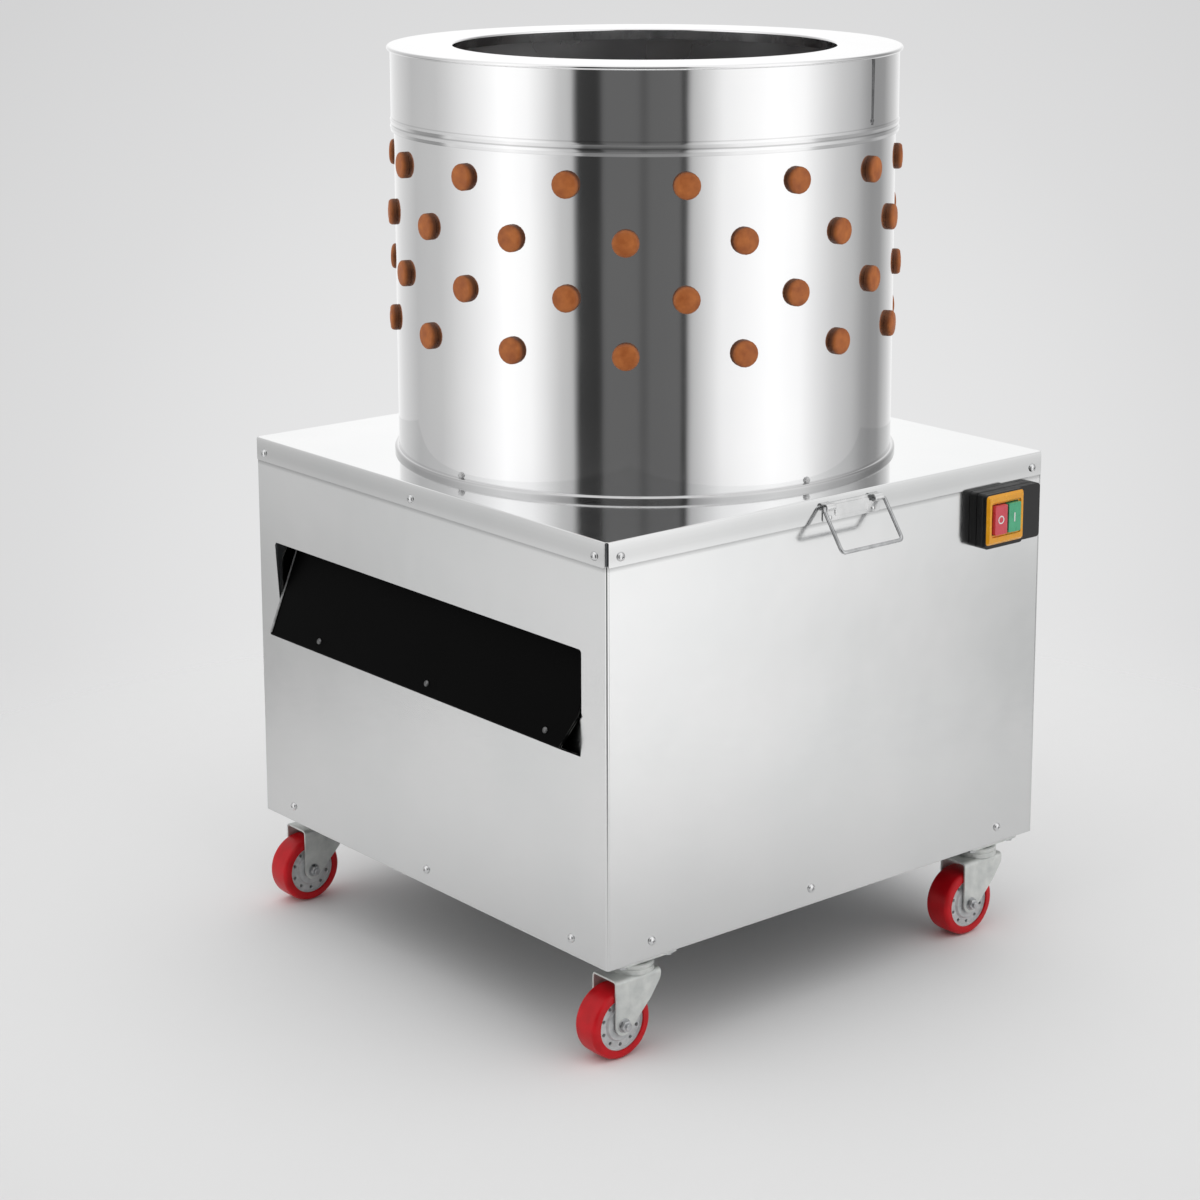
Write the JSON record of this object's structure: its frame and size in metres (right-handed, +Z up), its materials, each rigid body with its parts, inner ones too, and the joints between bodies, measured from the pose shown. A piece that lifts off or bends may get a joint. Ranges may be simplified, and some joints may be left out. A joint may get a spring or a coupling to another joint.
{
  "type": "drum poultry plucker",
  "caption": "Electric drum poultry plucker: polished drum with rubber fingers on a square sheet-steel cabinet with feather chute, push-button switch, bail handles and castors.",
  "frame": {"origin": "on the floor under the drum's axis, at the bottom centre of the object", "axes": "+Z up along the drum's axis, feather outlet towards -Y, switch and handle towards +X"},
  "size_m": [0.7676, 0.7223, 1.098],
  "materials": {
    "frame_steel": "grey enamel on angle iron",
    "satin_steel": "satin stainless sheet",
    "polished_steel": "polished stainless sheet",
    "fastener_steel": "plain stainless fasteners",
    "black_paint": "semi-gloss black",
    "finger_rubber": "matte orange-brown rubber",
    "bearing_steel": "ground steel",
    "cast_iron": "plain cast iron",
    "belt_rubber": "matte black rubber",
    "motor_paint": "grey-blue enamel",
    "black_plastic": "satin black",
    "yellow_plastic": "gloss amber yellow",
    "red_plastic": "gloss red",
    "green_plastic": "gloss green",
    "handle_steel": "plain stainless wire and sheet",
    "zinc": "bright zinc plate",
    "red_urethane": "translucent-looking red polyurethane",
    "hub_plastic": "grey hub disc"
  },
  "bodies": {
    "cabinet": {"frame_posts": "frame_steel", "frame_rails": "frame_steel", "cross_beams": "frame_steel", "deck_plate": "satin_steel", "front_panel": "satin_steel", "right_panel": "satin_steel", "back_panel": "satin_steel", "left_panel": "satin_steel", "cabinet_screws": "fastener_steel", "discharge_chute": "black_paint", "chute_rivets": "fastener_steel", "feather_pan": "satin_steel", "drum_shell": "polished_steel", "drum_collar": "polished_steel", "rim_ring": "polished_steel", "drum_bolts": "fastener_steel", "drum_fingers": "finger_rubber", "bearing_housing": "cast_iron", "shaft_bearings": "bearing_steel", "drive_belt": "belt_rubber", "motor_body": "motor_paint", "fan_cover": "motor_paint", "terminal_box": "motor_paint", "capacitor": "black_plastic", "motor_plate": "frame_steel", "frame_bolts": "fastener_steel", "switch_box": "black_plastic", "switch_plate": "yellow_plastic", "cable_gland": "black_plastic", "handle_plate_right": "handle_steel", "handle_plate_left": "handle_steel", "castor_plates": "zinc"},
    "turntable": {"turntable": "satin_steel", "plate_fingers": "finger_rubber", "hub_cap": "satin_steel", "sweep_paddles": "satin_steel", "main_shaft": "bearing_steel", "driven_pulley": "cast_iron"},
    "rotor": {"motor_shaft": "bearing_steel", "motor_pulley": "cast_iron"},
    "stop_button": {"stop_button": "red_plastic"},
    "start_button": {"start_button": "green_plastic"},
    "handle_right": {"handle_bail_right": "handle_steel"},
    "handle_left": {"handle_bail_left": "handle_steel"},
    "swivel_front_left": {"fork_front_left": "zinc", "axle_front_left": "zinc"},
    "wheel_front_left": {"tread_front_left": "red_urethane", "hub_front_left": "hub_plastic"},
    "swivel_front_right": {"fork_front_right": "zinc", "axle_front_right": "zinc"},
    "wheel_front_right": {"tread_front_right": "red_urethane", "hub_front_right": "hub_plastic"},
    "swivel_back_left": {"fork_back_left": "zinc", "axle_back_left": "zinc"},
    "wheel_back_left": {"tread_back_left": "red_urethane", "hub_back_left": "hub_plastic"},
    "swivel_back_right": {"fork_back_right": "zinc", "axle_back_right": "zinc"},
    "wheel_back_right": {"tread_back_right": "red_urethane", "hub_back_right": "hub_plastic"}
  },
  "joints": [
    {"name": "turntable_spin", "type": "hinge", "parent": "cabinet", "child": "turntable", "pos_m": [0, 0, 0.5], "axis": [0, 0, 1], "continuous": true},
    {"name": "motor_spin", "type": "hinge", "parent": "cabinet", "child": "rotor", "pos_m": [0, 0.225, 0.3], "axis": [0, 0, 1], "continuous": true},
    {"name": "stop_press", "type": "slide", "parent": "cabinet", "child": "stop_button", "axis": [-1, 0, 0], "range_m": [0, 0.0025], "stiffness_N_per_m": 800},
    {"name": "start_press", "type": "slide", "parent": "cabinet", "child": "start_button", "axis": [-1, 0, 0], "range_m": [0, 0.0025], "stiffness_N_per_m": 800},
    {"name": "handle_right_swing", "type": "hinge", "parent": "cabinet", "child": "handle_right", "pos_m": [0.3494, 0.0185, 0.5945], "axis": [0, -1, 0], "range_deg": [-30, 55]},
    {"name": "handle_left_swing", "type": "hinge", "parent": "cabinet", "child": "handle_left", "pos_m": [-0.3494, 0.0185, 0.5945], "axis": [0, 1, 0], "range_deg": [-30, 55]},
    {"name": "swivel_front_left_turn", "type": "hinge", "parent": "cabinet", "child": "swivel_front_left", "pos_m": [-0.311, -0.28, 0.1], "axis": [0, 0, 1], "continuous": true},
    {"name": "wheel_front_left_roll", "type": "hinge", "parent": "swivel_front_left", "child": "wheel_front_left", "pos_m": [-0.311, -0.31, 0.0415], "axis": [1, 0, 0], "continuous": true},
    {"name": "swivel_front_right_turn", "type": "hinge", "parent": "cabinet", "child": "swivel_front_right", "pos_m": [0.311, -0.28, 0.1], "axis": [0, 0, 1], "continuous": true},
    {"name": "wheel_front_right_roll", "type": "hinge", "parent": "swivel_front_right", "child": "wheel_front_right", "pos_m": [0.311, -0.31, 0.0415], "axis": [1, 0, 0], "continuous": true},
    {"name": "swivel_back_left_turn", "type": "hinge", "parent": "cabinet", "child": "swivel_back_left", "pos_m": [-0.311, 0.28, 0.1], "axis": [0, 0, 1], "continuous": true},
    {"name": "wheel_back_left_roll", "type": "hinge", "parent": "swivel_back_left", "child": "wheel_back_left", "pos_m": [-0.311, 0.25, 0.0415], "axis": [1, 0, 0], "continuous": true},
    {"name": "swivel_back_right_turn", "type": "hinge", "parent": "cabinet", "child": "swivel_back_right", "pos_m": [0.311, 0.28, 0.1], "axis": [0, 0, 1], "continuous": true},
    {"name": "wheel_back_right_roll", "type": "hinge", "parent": "swivel_back_right", "child": "wheel_back_right", "pos_m": [0.311, 0.25, 0.0415], "axis": [1, 0, 0], "continuous": true}
  ],
  "couplings": [
    {"joint": "motor_spin", "follows": "turntable_spin", "ratio": 4.6429}
  ]
}
